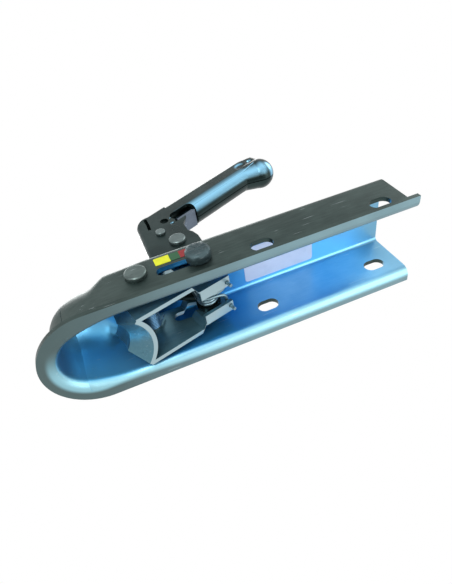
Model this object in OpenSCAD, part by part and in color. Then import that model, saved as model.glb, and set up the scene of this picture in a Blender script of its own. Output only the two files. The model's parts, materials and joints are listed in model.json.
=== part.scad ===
// Trailer coupling head for a 50 mm tow ball and a square drawbar.
// It stands on the flat underside of its lips, with the handle up in the open position.
// +X points forward over the tow ball, +Y to the left, +Z up.
// The origin lies on the ball's upright axis, in the plane of the lips' underside.

/* [Pressed housing] */
// Clear width between the side walls
inner_w = 61; // [60:0.5:66]
// Thickness of the pressed sheet
sheet = 4; // [3:0.25:4.5]
// Height of the web's top face above the lips' underside
housing_h = 54; // [52:0.5:58]
// Distance from the ball's axis back to the rear end
rear_len = 270.5; // [262:0.5:320]
// How far each lip stands out from its side wall
lip_reach = 8.8; // [7.6:0.1:12]
// Inner radius of the bend between wall and lip
lip_bend_r = 3.5; // [2.5:0.25:4]
// Inner radius of the bend between wall and web
web_bend_r = 3.5; // [2.5:0.25:5]
// How far the centre of the rounded nose lip lies behind the ball's axis
nose_setback = 3; // [0:0.5:5]
// Length over which the walls draw in towards the socket
draw_in = 30; // [26:1:34]

/* [Ball socket] */
// Diameter of the tow ball
ball_d = 50; // [50:0.1:50.8]
// Height of the ball's centre above the lips' underside
ball_z = 30; // [28:0.5:31]
// Gap between the ball and the socket
ball_gap = 0.2; // [0.1:0.1:0.5]

/* [Drawbar bolts] */
// Distance from the ball's axis back to the first pair of slots
bolt_x = 144.3; // [138:0.5:150]
// Distance between the two pairs of slots
bolt_pitch = 104.3; // [90:0.5:106]
// Height of the slots above the lips' underside
bolt_z = 19.8; // [17:0.2:26]
// End-to-end length of each slot
bolt_slot_l = 18.6; // [14:0.2:22]
// Width of each slot
bolt_slot_w = 12.4; // [10.5:0.1:13.5]

/* [Clamp] */
// Distance from the ball's axis back to the clamp's pivot
pivot_x = 47.6; // [46:0.2:49]
// Depth of the clamp's pivot below the web's top face
pivot_depth = 19.7; // [18.5:0.2:21]
// Diameter of the clamp's pivot rivet
pivot_d = 10; // [9:0.5:11]
// Diameter of the pivot rivet's heads
pivot_head_d = 17.4; // [15:0.2:19]
// Height of the pivot rivet's heads
pivot_head_h = 4; // [3:0.25:5]
// Thickness of the clamp's sheet
clamp_t = 3.5; // [3:0.25:4]
// Width over the clamp's side walls
clamp_w = 50; // [48:0.5:52]
// Angle through which the clamp swings shut
clamp_swing = 15; // [13:0.5:16]
// Gap between the closed clamp and the ball
clamp_ball_gap = 0.4; // [0.2:0.1:1]
// Wire diameter of the clamp's spring
clamp_wire = 1.4; // [1:0.1:1.8]
// Turns of the clamp's spring
clamp_turns = 10; // [6:1:12]

/* [Indicator axle] */
// Diameter of the axle that slides in the wall slots
axle_d = 9; // [8:0.25:9.5]
// Distance from the ball's axis back to the open axle
axle_x = 96; // [94:0.5:98]
// Depth of the axle below the web's top face
axle_depth = 25.5; // [24:0.25:26.5]
// How far the axle slides forward
axle_travel = 26; // [20:0.5:27]
// Spare length of the slot beyond the axle's travel
slot_spare = 3; // [1:0.5:4]
// Diameter of the indicator head
head_d = 19.6; // [16:0.2:21]
// Height of the indicator head
head_h = 8; // [5:0.25:9]
// Diameter of the axle washers
washer_d = 16; // [14:0.2:17]
// Thickness of the axle washers
washer_t = 1.2; // [0.8:0.1:1.6]
// Wire diameter of the closing spring
closing_wire = 2.8; // [2:0.1:2.9]
// Whole turns of the closing spring on each side
closing_turns = 2; // [1:1:2]

/* [Handle] */
// Width of the folded handle
handle_w = 26; // [24.6:0.2:27]
// Sheet thickness of the handle
handle_t = 3; // [2:0.25:3.5]
// Height of the grip's section
grip_h = 24.6; // [22:0.2:27]
// Slope of the raised grip
grip_slope = 24.6; // [22:0.2:27]
// Length of the grip along its top edge
grip_len = 128; // [110:1:150]
// Diameter of the round end of the grip
knob_d = 31; // [28:0.5:33]
// Angle through which the handle closes
handle_swing = 25; // [20:0.5:26]
// Diameter of the trigger's rivet
trigger_rivet_d = 8; // [6:0.25:9]
// Diameter of the trigger rivet's heads
trigger_head_d = 15; // [12:0.2:17]
// Diameter of the stop rivet
stop_rivet_d = 5; // [4:0.25:6]
// Diameter of the stop rivet's heads
stop_head_d = 8.8; // [7:0.2:11]
// Angle through which the trigger is squeezed
trigger_swing = 8; // [5:0.5:9]
// Thickness of the trigger's lever
trigger_t = 8; // [6:0.5:9]

/* [Labels] */
// Height of the coloured strip above the indicator slot
strip_h = 8.8; // [6:0.2:9]
// Length of the white label inside the web
label_l = 66; // [50:1:80]
// Width of the white label
label_w = 36; // [25:1:40]

/* [Hidden] */

round_fn = 48;
// running clearance on a radius, gap between sliding faces, and a cut's overshoot
run_gap = 0.05;
face_gap = 0.15;
over = 1;

inner_half = inner_w / 2;
outer_half = inner_half + sheet;
lip_half = outer_half + lip_reach;
ball_r = ball_d / 2;
socket_r = ball_r + ball_gap;
bend_out = lip_bend_r + sheet;
// radius of the curve that leads each wall's inner face into the round socket
sweep_r = (draw_in * draw_in + inner_half * inner_half - socket_r * socket_r) / (2 * (inner_half - socket_r));
sweep_cy = inner_half - sweep_r;
sweep_angle = atan2(draw_in, sweep_r - inner_half);
// stations of the shoulders, from behind the ball's axis to the plane where the round nose takes over
loft_start = 60;
loft_step = 4;
nose_cut = 13;
arc_steps = 8;
bend_steps = 6;

// heights of the clamp's pivot and of the axle above the lips' underside
pivot_z = housing_h - pivot_depth;
axle_z = housing_h - axle_depth;
clamp_half = clamp_w / 2;
axle_closed_x = axle_x - axle_travel;
slot_w = axle_d + 0.5;
arm_in = handle_w / 2 + washer_t + 2 * face_gap;
arm_out = arm_in + clamp_t;
cheek_out = handle_w / 2;
cheek_in = cheek_out - handle_t;

steel = [0.62, 0.68, 0.72];
zinc_dark = [0.36, 0.42, 0.44];
zinc_blue = [0.42, 0.6, 0.78];

// General shapes

// extrudes an outline drawn in Y and Z along X, forwards from x
module along_x(x, length) {
    translate([x, 0, 0]) rotate([90, 0, 90]) linear_extrude(length) children();
}

// extrudes an outline drawn in X and Z along Y, from y_low to y_high
module along_y(y_low, y_high) {
    translate([0, y_high, 0]) rotate([90, 0, 0]) linear_extrude(y_high - y_low) children();
}

// round bar along Y through the point x, z
module bar_y(x, z, d, y_low, y_high) {
    translate([x, y_high, z]) rotate([90, 0, 0]) cylinder(d = d, h = y_high - y_low, $fn = round_fn);
}

// tube along Y
module tube_y(x, z, d_out, d_in, y_low, y_high) {
    difference() {
        bar_y(x, z, d_out, y_low, y_high);
        bar_y(x, z, d_in, y_low - over, y_high + over);
    }
}

// head of a rivet on the +Y side of y, with a bevelled rim
module rivet_head(x, z, d, h, y) {
    bevel = h * 0.3;
    translate([x, y, z]) rotate([-90, 0, 0]) rotate_extrude($fn = round_fn)
        polygon([[0, 0], [d / 2, 0], [d / 2, h - bevel], [d / 2 - bevel, h], [0, h]]);
}

// slot with round ends along X, cut along Y
module slot_y(x_low, x_high, z, w, y_low, y_high) {
    bar_y(x_low + w / 2, z, w, y_low, y_high);
    bar_y(x_high - w / 2, z, w, y_low, y_high);
    translate([x_low + w / 2, y_low, z - w / 2]) cube([x_high - x_low - w, y_high - y_low, w]);
}

// turns its children about an axle along Y, nose down for a positive angle
module turn_about(x, z, angle) {
    translate([x, 0, z]) rotate([0, angle, 0]) translate([-x, 0, -z]) children();
}

// faces that close the end of a band whose outer and inner points run in opposite orders
function band_cap(n, first) = concat(
    [for (side = [0, n / 2]) for (k = [0 : n / 4 - 2])
        [for (j = [k, k + 1, n / 2 - 2 - k, n / 2 - 1 - k]) first + side + j]],
    [[for (j = [0, n / 2 - 1, n / 2, n - 1]) first + j]]);
function flipped(faces) = [for (f = faces) [for (i = [len(f) - 1 : -1 : 0]) f[i]]];
// solid between a row of outlines, each a list of as many points; banded outlines are pressed sheet
module loft(rings, banded = false) {
    n = len(rings[0]);
    last = len(rings) - 1;
    points = [for (ring = rings) for (p = ring) p];
    sides = [for (i = [0 : last - 1]) for (j = [0 : n - 1])
        let (k = (j + 1) % n, a = i * n + j, b = i * n + k, c = a + n, d = b + n)
        for (f = [[a, b, c], [b, d, c]]) f];
    caps = banded ? concat(flipped(band_cap(n, 0)), band_cap(n, last * n))
        : [[for (j = [n - 1 : -1 : 0]) j], [for (j = [0 : n - 1]) last * n + j]];
    polyhedron(points, concat(sides, caps), convexity = 6);
}

// round wire through a list of points
function unit(v) = v / norm(v);
function along(path, i) = unit(path[min(i + 1, len(path) - 1)] - path[max(i - 1, 0)]);
function wire_ring(path, i, r, up, sides) =
    let (t = along(path, i), u = unit(cross(t, up)), v = cross(u, t))
    [for (k = [0 : sides - 1]) let (a = 360 * k / sides) path[i] + r * (cos(a) * u + sin(a) * v)];
module wire(path, d, up, sides = 8) {
    loft([for (i = [0 : len(path) - 1]) wire_ring(path, i, d / 2, up, sides)]);
}

// Housing

function smooth(u) = let (v = min(max(u, 0), 1)) v * v * (3 - 2 * v);
// distance of the wall from the centre line at x, measured to the inner face moved out by d
function plan_half(x, d) =
    x < -draw_in ? inner_half + d
    : x < (socket_r + d) * draw_in / (sweep_r - socket_r)
        ? sqrt((sweep_r + d) * (sweep_r + d) - (x + draw_in) * (x + draw_in)) + sweep_cy
    : sqrt((socket_r + d) * (socket_r + d) - x * x);
// how far the corner between wall and web has opened out into the dome, 0 to 1
function dome_share(x) = 0.14 * smooth((x + loft_start) / 32) + 0.86 * smooth((x + draw_in - 4) / 18);
function dome_top(x, d) = ball_z + sqrt((socket_r + d) * (socket_r + d) - x * x);
function web_top(x, d) = let (web = housing_h - sheet + d)
    x > 0 ? dome_top(x, d) : web + (dome_top(0, d) - web) * smooth((x + 22) / 22);
// points of the corner between wall and web, from the web down to the wall
function corner(x, d) =
    let (share = dome_share(x), top = web_top(x, d), half = plan_half(x, d), r = web_bend_r + d,
        rz = r + (top - ball_z - r) * share, rx = min(r + (half - r) * share, half - 0.5))
    [for (i = [arc_steps : -1 : 0]) let (a = 90 * i / arc_steps)
        [x, half - rx + rx * cos(a), top - rz + rz * sin(a)]];
function lip_bend(x, r, a_low, a_high) = [for (i = [0 : bend_steps])
    let (a = a_low + (a_high - a_low) * i / bend_steps)
    [x, plan_half(x, bend_out + r * cos(a)), bend_out + r * sin(a)]];
function reversed(points) = [for (i = [len(points) - 1 : -1 : 0]) points[i]];
// left half of the pressed section at x, thinned by inset on both faces
function half_section(x, inset) = concat(corner(x, sheet - inset), lip_bend(x, lip_bend_r + inset, 180, 270),
    lip_bend(x, bend_out - inset, 270, 180), reversed(corner(x, inset)));
function section(x, inset) = let (half = half_section(x, inset))
    concat(half, [for (p = reversed(half)) [p[0], -p[1], p[2]]]);

// outline of the inner wall face seen from above, moved outwards by d
module plan(d) {
    translate([-rear_len - over, -inner_half - d])
        square([rear_len + over - draw_in, inner_w + 2 * d]);
    circle(r = socket_r + d, $fn = 96);
    intersection() {
        translate([-draw_in - 0.01, -inner_half - d])
            square([draw_in + (socket_r + d) * sin(sweep_angle), inner_w + 2 * d]);
        translate([-draw_in, sweep_cy]) circle(r = sweep_r + d, $fn = 360);
        translate([-draw_in, -sweep_cy]) circle(r = sweep_r + d, $fn = 360);
    }
}
module lip_outline() {
    translate([-rear_len, -lip_half]) square([rear_len - nose_setback, 2 * lip_half]);
    translate([-nose_setback, 0]) circle(r = lip_half, $fn = 128);
}
// half profile of the round nose, turned about the ball's axis
module nose_profile() {
    intersection() {
        translate([0, bend_out]) square([socket_r + sheet, housing_h + socket_r]);
        difference() {
            union() {
                translate([0, ball_z]) circle(r = socket_r + sheet, $fn = 96);
                square([socket_r + sheet, ball_z]);
            }
            translate([0, ball_z]) circle(r = socket_r, $fn = 96);
            square([socket_r, ball_z]);
        }
    }
    intersection() {
        translate([socket_r, 0]) square(bend_out);
        translate([socket_r + bend_out, bend_out]) difference() {
            circle(r = bend_out, $fn = 64);
            circle(r = lip_bend_r, $fn = 64);
        }
    }
}

module pressing() {
    // channel for the drawbar and the shoulders that draw in towards the dome
    intersection() {
        loft(concat([section(-rear_len - over, 0)],
            [for (x = [-loft_start : loft_step : nose_cut - 1]) section(x, 0)],
            [section(nose_cut, 0.2), section(nose_cut + 3, 0.4)]), banded = true);
        translate([-rear_len, -lip_half, -over])
            cube([rear_len + nose_cut + 1, 2 * lip_half, housing_h + ball_r]);
    }
    // front of the dome, with the bend round its foot
    intersection() {
        rotate_extrude($fn = 96) nose_profile();
        translate([nose_cut, -lip_half, -over]) cube([lip_half, 2 * lip_half, housing_h + ball_r]);
    }
    // flat lip all the way round
    linear_extrude(sheet) difference() {
        lip_outline();
        plan(bend_out - 0.25);
    }
}

// opening in the web through which the handle's neck passes
window_front = -46;
window_rear = -111.5;
window_half = cheek_out + 1.4;
window_r = 5;
module window_outline() {
    for (x = [window_rear + window_r, window_front - window_r]) for (y = [-1, 1])
        translate([x, y * (window_half - window_r)]) circle(r = window_r, $fn = 48);
    translate([window_rear + window_r, -window_half])
        square([window_front - window_rear - 2 * window_r, 2 * window_half]);
    translate([window_rear, window_r - window_half])
        square([window_front - window_rear, 2 * (window_half - window_r)]);
}

module housing() color(zinc_dark) difference() {
    pressing();
    for (x = [-bolt_x, -bolt_x - bolt_pitch])
        slot_y(x - bolt_slot_l / 2, x + bolt_slot_l / 2, bolt_z, bolt_slot_w, -outer_half - over, outer_half + over);
    slot_y(-axle_x - slot_w / 2, -axle_closed_x + slot_spare + slot_w / 2, axle_z, slot_w,
        -outer_half - over, outer_half + over);
    bar_y(-pivot_x, pivot_z, pivot_d, -outer_half - over, outer_half + over);
    translate([0, 0, housing_h - sheet - over]) linear_extrude(sheet + 2 * over) window_outline();
}

// Clamp, drawn closed and then swung open

// where the axle stands in the clamp's own closed position, s = 0 open, s = 1 closed
function cam_point(s) =
    let (a = clamp_swing * (1 - s), dx = -axle_x + axle_travel * s + pivot_x, dz = axle_z - pivot_z)
    [-pivot_x + dx * cos(a) - dz * sin(a), pivot_z + dx * sin(a) + dz * cos(a)];
cam_steps = 6;
cam_w = axle_d + 0.9;
function cam_side(i, side) =
    let (p = cam_point(i / cam_steps), way = cam_point((i + 0.5) / cam_steps) - cam_point((i - 0.5) / cam_steps))
    p + side * cam_w / 2 * unit([-way[1], way[0]]);
module cam_slot() along_y(-clamp_half - over, clamp_half + over) {
    polygon(concat([for (i = [0 : cam_steps]) cam_side(i, 1)], [for (i = [cam_steps : -1 : 0]) cam_side(i, -1)]));
    for (s = [0, 1]) translate(cam_point(s)) circle(d = cam_w, $fn = round_fn);
}

// height of the clamp's bottom edge when closed, and how far its lead-in flares
clamp_bottom = 2.2;
clamp_web_gap = 6;
flare_r = 34.2;
grip_low = ball_z - 10.5;
clamp_top = housing_h - sheet - clamp_web_gap;
grip_high = min(ball_z + 6, clamp_top - 2);
// radius of the clamp's face where it grips the ball
face_r = ball_r + clamp_ball_gap;
function face_at(z) = sqrt(face_r * face_r - (z - ball_z) * (z - ball_z));
ear_lap = 0.3;
ear_angle = asin((clamp_half - 2 * ear_lap) / (flare_r + clamp_t));
wall_front = 0.7 - sqrt(pow(flare_r + clamp_t, 2) - clamp_half * clamp_half);

// the face's section, from the flared bottom edge up round the ball
module face_profile(depth) {
    intersection() {
        translate([0, grip_low]) square([face_r + depth, grip_high - grip_low]);
        difference() {
            translate([0, ball_z]) circle(r = face_r + depth, $fn = 96);
            translate([0, ball_z]) circle(r = face_r, $fn = 96);
        }
    }
    polygon([[face_at(grip_low), grip_low], [flare_r, clamp_bottom], [flare_r + depth, clamp_bottom],
        [face_at(grip_low) + depth + 1.2, grip_low]]);
    translate([face_at(grip_high), grip_high]) square([depth, clamp_top - grip_high]);
}
// the turned-out edge that joins the face to a side wall
module ear() {
    rotate([0, 0, 180 - ear_angle]) rotate([90, 0, 0]) translate([0, 0, -clamp_t]) linear_extrude(clamp_t + ear_lap)
        polygon([[face_at(grip_low) + 1, grip_low], [flare_r + 0.5, clamp_bottom],
            [flare_r + clamp_t, clamp_bottom], [flare_r + clamp_t, clamp_top], [face_r + 1, clamp_top],
            [face_r + 1, grip_low + 4]]);
}

arm_end = -107;
jog_x = -75;
jog_run = 4;
flange_in = 8.4;
flange_t = 3;
arm_bottom = 1;
arm_high = axle_z + 2.5;
// holes in the flanges for the closing spring's ends
hook_d = closing_wire + 0.8;
hook_x = arm_end + 2.6;
hook_y = arm_in - hook_d / 2 - 0.2;
// one side wall, its jog inwards and its arm, seen from above
module side_plan() {
    polygon([[wall_front, clamp_half], [jog_x, clamp_half], [jog_x - jog_run, arm_out], [arm_end, arm_out],
        [arm_end, arm_in], [jog_x - jog_run - clamp_t / 2, arm_in], [jog_x - clamp_t / 2, clamp_half - clamp_t],
        [wall_front, clamp_half - clamp_t]]);
}
// the clamp seen from the side
module side_outline() {
    polygon([[wall_front + 0.1, clamp_bottom], [jog_x, clamp_bottom], [jog_x - 6, arm_bottom], [arm_end, arm_bottom],
        [arm_end, arm_high - 4], [arm_end + 4, arm_high], [-60, clamp_top], [wall_front + 0.1, clamp_top]]);
}

module clamp_closed() difference() {
    union() {
        rotate([0, 0, 180 - ear_angle]) rotate_extrude(angle = 2 * ear_angle, $fn = 96) face_profile(clamp_t);
        for (side = [0, 1]) mirror([0, side, 0]) {
            ear();
            intersection() {
                linear_extrude(clamp_top + over) side_plan();
                along_y(0, clamp_half + over) side_outline();
            }
            translate([arm_end, flange_in, arm_bottom])
                cube([jog_x - jog_run - 1 - arm_end, arm_out - flange_in, flange_t]);
        }
    }
    bar_y(-pivot_x, pivot_z, pivot_d + 2 * run_gap, -clamp_half - over, clamp_half + over);
    cam_slot();
    for (y = [-1, 1]) translate([hook_x, y * hook_y, arm_bottom - over])
        cylinder(d = hook_d, h = flange_t + 2 * over, $fn = 32);
}
module ball_clamp() color(steel) turn_about(-pivot_x, pivot_z, clamp_swing) clamp_closed();

module clamp_pivot_rivet() color(steel) {
    bar_y(-pivot_x, pivot_z, pivot_d, -outer_half - over, outer_half + over);
    for (side = [0, 1]) mirror([0, side, 0])
        rivet_head(-pivot_x, pivot_z, pivot_head_d, pivot_head_h, outer_half);
}
tube_d = pivot_d + 2.4;
tube_half = clamp_half - clamp_t - face_gap;
module pivot_tube() color(steel)
    tube_y(-pivot_x, pivot_z, tube_d, pivot_d, -tube_half, tube_half);
module pivot_spacer() tube_y(-pivot_x, pivot_z, pivot_d + 5, pivot_d, clamp_half + face_gap, inner_half);
module pivot_spacer_left() color(steel) pivot_spacer();
module pivot_spacer_right() color(steel) mirror([0, 1, 0]) pivot_spacer();

// torsion spring on the pivot tube, with a leg on the clamp's face and one on the web
coil_steps = 18;
clamp_coil_r = tube_d / 2 + clamp_wire / 2 + 0.1;
clamp_coil_y = -18;
clamp_pitch = clamp_wire + 0.2;
clamp_turn_start = 200;
function clamp_coil_point(i) =
    let (a = clamp_turn_start + 360 * i / coil_steps)
    [-pivot_x + clamp_coil_r * cos(a), clamp_coil_y + clamp_pitch * i / coil_steps, pivot_z + clamp_coil_r * sin(a)];
module clamp_spring() color(zinc_blue) {
    n = clamp_turns * coil_steps;
    body = [for (i = [0 : n]) clamp_coil_point(i)];
    leg = 9;
    first = body[0] + leg * unit(body[0] - body[1]);
    final = body[n] + leg * unit(body[n] - body[n - 1]);
    wire(concat([first], body, [final]), clamp_wire, [0, 1, 0], 6);
}

// Indicator axle and what rides on it

washer_y = outer_half + face_gap;
head_y = washer_y + washer_t;
end_ring_t = 3;
module indicator_axle() color(zinc_dark) {
    bar_y(-axle_x, axle_z, axle_d, -head_y - end_ring_t, head_y + 0.5);
    rivet_head(-axle_x, axle_z, head_d, head_h, head_y);
}
module axle_washer() tube_y(-axle_x, axle_z, washer_d, axle_d, washer_y, head_y);
module axle_washer_left() color(steel) axle_washer();
module axle_washer_right() color(steel) mirror([0, 1, 0]) axle_washer();
module axle_end_ring() color(steel)
    tube_y(-axle_x, axle_z, axle_d + 5, axle_d, -head_y - end_ring_t, -head_y);
module handle_washer()
    tube_y(-axle_x, axle_z, axle_d + 6, axle_d, cheek_out + face_gap, cheek_out + face_gap + washer_t);
module handle_washer_left() color(steel) handle_washer();
module handle_washer_right() color(steel) mirror([0, 1, 0]) handle_washer();
sleeve_d = axle_d + 2.4;
sleeve_half = cheek_in - face_gap;
module axle_sleeve() color(steel) tube_y(-axle_x, axle_z, sleeve_d, axle_d, -sleeve_half, sleeve_half);

// double torsion spring on the axle sleeve: its ends hook through the clamp's flanges, and the loop
// between its two coils leans on the trigger's hub
closing_coil_r = sleeve_d / 2 + closing_wire / 2 + 0.1;
closing_pitch = closing_wire + 0.1;
closing_inner_y = closing_pitch / 2;
// a point on the axis of a flange's hole, at height h over the flange's underside, with the clamp open
function hook_point(h) =
    let (dx = hook_x + pivot_x, dz = arm_bottom + h - pivot_z, c = cos(clamp_swing), s = sin(clamp_swing))
    [-pivot_x + dx * c + dz * s, hook_y, pivot_z - dx * s + dz * c];
function closing_half(n) = concat(
    [hook_point(-5.5), hook_point(0), hook_point(flange_t + 1.6)],
    [for (p = [[-14.1, hook_y - 1, -6.3], [-14, 8, -6.6], [-12.8, 4, -7], [-10, 1.9, -7.2]])
        [p[0] - axle_x, p[1], p[2] + axle_z]],
    [for (i = [0 : n]) let (a = -90 + 360 * i / coil_steps)
        [-axle_x + closing_coil_r * cos(a), closing_inner_y + closing_pitch * i / coil_steps,
            axle_z + closing_coil_r * sin(a)]],
    [for (p = [[7.5, 8, 4], [12.4, 7.4, 54], [12.8, 6.6, 58.5], [12.9, 4.4, 61.3]])
        [p[0] - axle_x, p[1], p[2] + axle_z]]);
module closing_spring() color(steel) {
    half = closing_half(coil_steps * (closing_turns + 0.25));
    wire(concat(half, [for (p = reversed(half)) [p[0], -p[1], p[2]]]), closing_wire, [0.05, 1, 0.02], 8);
}

// Handle, drawn raised; its outline is given from the axle's centre

lobe_r = 10;
neck_front = 32;
neck_shoulder = 21.5;
neck_corner_r = 16;
fold_r = 4;
// start of the grip's top edge, from the axle's centre
grip_top = [20, 110.5];
grip_dir = [-cos(grip_slope), sin(grip_slope)];
function from_grip(s, h) = grip_top + s * grip_dir - h * [sin(grip_slope), cos(grip_slope)];
module at_axle() translate([-axle_x, 0, axle_z]) children();
module at_grip() translate([grip_top[0], 0, grip_top[1]]) rotate([0, grip_slope, 0]) children();

// the neck's side view; inset moves its front, top and belly inwards
module neck_outline(inset) {
    corner_z = from_grip(0, neck_corner_r)[1];
    polygon([[6, 8], [neck_front - inset, neck_shoulder], [neck_front - inset, corner_z],
        [neck_front - inset - 1.4, corner_z + 6], from_grip(-3.2, inset + 1.4), from_grip(0, inset),
        from_grip(24, inset), from_grip(24, grip_h - 6), from_grip(34, grip_h - 3 - inset), [inset - 9.5, 84],
        [-10, 72], [-13.2, 68], [-15.8, 60], [-16.1, 48.5], [-lobe_r, 0]]);
    translate([neck_front - neck_corner_r, corner_z]) circle(r = neck_corner_r - inset, $fn = 64);
    circle(r = lobe_r, $fn = round_fn);
}
// the space between the neck's sides, open to the rear and below
rear_reach = 40;
module neck_gap() {
    neck_outline(handle_t);
    polygon([[neck_front - handle_t, 90], [neck_front - handle_t, neck_shoulder + 2],
        [neck_front + 8, neck_shoulder - 6], [neck_front, -20], [-rear_reach, -20], [-rear_reach, 103], [-4, 103]]);
}
// the neck seen from above, with folded front edges
module neck_plan(half, r) {
    translate([-60, -half]) square([60 + neck_front - r, 2 * half]);
    translate([-60, r - half]) square([60 + neck_front, 2 * (half - r)]);
    for (y = [-1, 1]) translate([neck_front - r, y * (half - r)]) circle(r = r, $fn = 48);
}
// the grip's section: flat top, straight sides and a half-round belly
module grip_section(half, h, r) {
    translate([0, half - h]) circle(r = half, $fn = 64);
    translate([-half, half - h]) square([2 * half, h - half - r]);
    translate([r - half, half - h]) square([2 * (half - r), h - half]);
    for (y = [-1, 1]) translate([y * (half - r), -r]) circle(r = r, $fn = 32);
}
// centre of the round end, beyond the grip and a little low
knob_s = grip_len + 9.8;
knob_c = from_grip(knob_s, knob_d / 2 + 5.2);
grip_fold_r = 3;
// ball under the grip's end, and the cone that leads to it from the belly
module knob() {
    p = from_grip(grip_len - 10, grip_h - cheek_out);
    way = knob_c - p;
    translate([knob_c[0], 0, knob_c[1]]) sphere(d = knob_d, $fn = 64);
    translate([p[0], 0, p[1]]) rotate([0, atan2(way[0], way[1]), 0])
        cylinder(r1 = cheek_out - 0.3, r2 = knob_d / 2 - 0.2, h = norm(way), $fn = 64);
}
// the grip, its flat top rounded at the end
module grip() at_grip() intersection() {
    along_x(-knob_s - knob_d, knob_s + knob_d - 6) grip_section(cheek_out, grip_h, grip_fold_r);
    translate([0, 0, -grip_h - over]) linear_extrude(grip_h + 2 * over) {
        translate([-knob_s, -cheek_out - over]) square([knob_s, 2 * (cheek_out + over)]);
        translate([-knob_s, 0]) circle(r = cheek_out + 0.4, $fn = 64);
    }
}
module handle_hollow() {
    along_y(-cheek_in, cheek_in) neck_gap();
    at_grip() along_x(-grip_len, grip_len - 12)
        translate([0, -handle_t]) grip_section(cheek_in, grip_h - 2 * handle_t, 1.5);
    translate([knob_c[0], 0, knob_c[1]]) sphere(d = knob_d - 2 * handle_t - 1, $fn = round_fn);
}
seam_w = 0.9;
module recess_outline() {
    for (s = [22, 38]) translate(from_grip(s, grip_h - 5)) circle(r = 6.5, $fn = round_fn);
    polygon([from_grip(22, grip_h - 11.4), from_grip(38, grip_h - 11.4), from_grip(46, grip_h + 3),
        from_grip(14, grip_h + 3)]);
}
module handle_body() difference() {
    union() {
        intersection() {
            along_y(-cheek_out, cheek_out) neck_outline(0);
            translate([0, 0, -20]) linear_extrude(160) neck_plan(cheek_out, fold_r);
        }
        grip();
        knob();
    }
    handle_hollow();
    // open seam along the belly and round the end
    along_y(-seam_w / 2, seam_w / 2) polygon([from_grip(26, grip_h - 9), from_grip(26, grip_h + 20),
        from_grip(grip_len + 40, grip_h + 20), from_grip(grip_len + 40, grip_h / 2), from_grip(grip_len, grip_h / 2)]);
    // scalloped finger recess, through both sides and the belly
    along_y(-cheek_out - over, cheek_out + over) recess_outline();
    // bores for the axle and the two rivets
    bar_y(0, 0, axle_d + 2 * run_gap, -cheek_out - over, cheek_out + over);
    bar_y(trigger_at[0], trigger_at[1], trigger_rivet_d, -cheek_out - over, cheek_out + over);
    bar_y(stop_at[0], stop_at[1], stop_rivet_d, -cheek_out - over, cheek_out + over);
    // punched slot and round hole near the top corner
    for (side = [-1, 1]) {
        translate([19.6, side * cheek_out - handle_t - over, 91]) rotate([0, -2, 0]) cube([3, 2 * (handle_t + over), 18]);
        bar_y(5.2, 98, 8, side * cheek_out - handle_t - over, side * cheek_out + handle_t + over);
    }
}
module handle() color(zinc_dark) at_axle() handle_body();

// Rivets, trigger and what stands between the handle's sides, from the axle's centre

trigger_at = [3, 61.5];
stop_at = [13.3, 80.8];
rivet_head_h = 3.6;
module through_rivet(at, d, head, h) {
    bar_y(at[0], at[1], d, -cheek_out - 0.5, cheek_out + 0.5);
    for (side = [0, 1]) mirror([0, side, 0]) rivet_head(at[0], at[1], head, h, cheek_out);
}
module trigger_rivet() color(steel) at_axle()
    through_rivet(trigger_at, trigger_rivet_d, trigger_head_d, rivet_head_h);
module stop_rivet() color(steel) at_axle()
    through_rivet(stop_at, stop_rivet_d, stop_head_d, rivet_head_h - 0.8);
module stop_sleeve() color(steel) at_axle()
    tube_y(stop_at[0], stop_at[1], stop_rivet_d + 2.6, stop_rivet_d, -cheek_in, cheek_in);
module trigger_spacer()
    tube_y(trigger_at[0], trigger_at[1], trigger_rivet_d + 2.4, trigger_rivet_d, trigger_t / 2 + face_gap, cheek_in);
module trigger_spacer_left() color(steel) at_axle() trigger_spacer();
module trigger_spacer_right() color(steel) at_axle() mirror([0, 1, 0]) trigger_spacer();

trigger_hub_r = 8;
pad_half = cheek_in - 1.2;
pad_t = 3;
latch_at = [26, 10];
module trigger_body() difference() {
    union() {
        along_y(-trigger_t / 2, trigger_t / 2) {
            translate(trigger_at) circle(r = trigger_hub_r, $fn = round_fn);
            polygon([trigger_at + [-7, 3.6], trigger_at + [2, 7.8], from_grip(30, grip_h - 8), from_grip(40, grip_h - 3),
                from_grip(26, grip_h - 3)]);
            polygon([trigger_at + [-5, -6], trigger_at + [7, -4], [22, 26], latch_at + [0, 5], latch_at + [4, 2],
                latch_at + [4, -1.5], latch_at + [-4, -2], [14, 24]]);
        }
        along_y(-pad_half, pad_half) polygon([from_grip(21, grip_h - 5), from_grip(41, grip_h - 5),
            from_grip(42, grip_h - 5 + pad_t), from_grip(21, grip_h - 5 + pad_t)]);
    }
    bar_y(trigger_at[0], trigger_at[1], trigger_rivet_d + 2 * run_gap, -trigger_t, trigger_t);
}
module safety_trigger() color([0.72, 0.74, 0.76]) at_axle() trigger_body();

trigger_wire = 1.2;
trigger_coil_r = trigger_rivet_d / 2 + 1.2 + trigger_wire / 2 + 0.1;
module trigger_spring() color(zinc_blue) at_axle() {
    turns = 3;
    n = turns * coil_steps;
    pitch = trigger_wire + 0.15;
    body = [for (i = [0 : n]) let (a = 200 + 360 * i / coil_steps)
        [trigger_at[0] + trigger_coil_r * cos(a), trigger_t / 2 + 0.9 + pitch * i / coil_steps,
            trigger_at[1] + trigger_coil_r * sin(a)]];
    first = body[0] + 8 * unit(body[0] - body[1]);
    final = body[n] + 8 * unit(body[n] - body[n - 1]);
    wire(concat([first], body, [final]), trigger_wire, [0, 1, 0], 6);
}

// Labels

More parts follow.
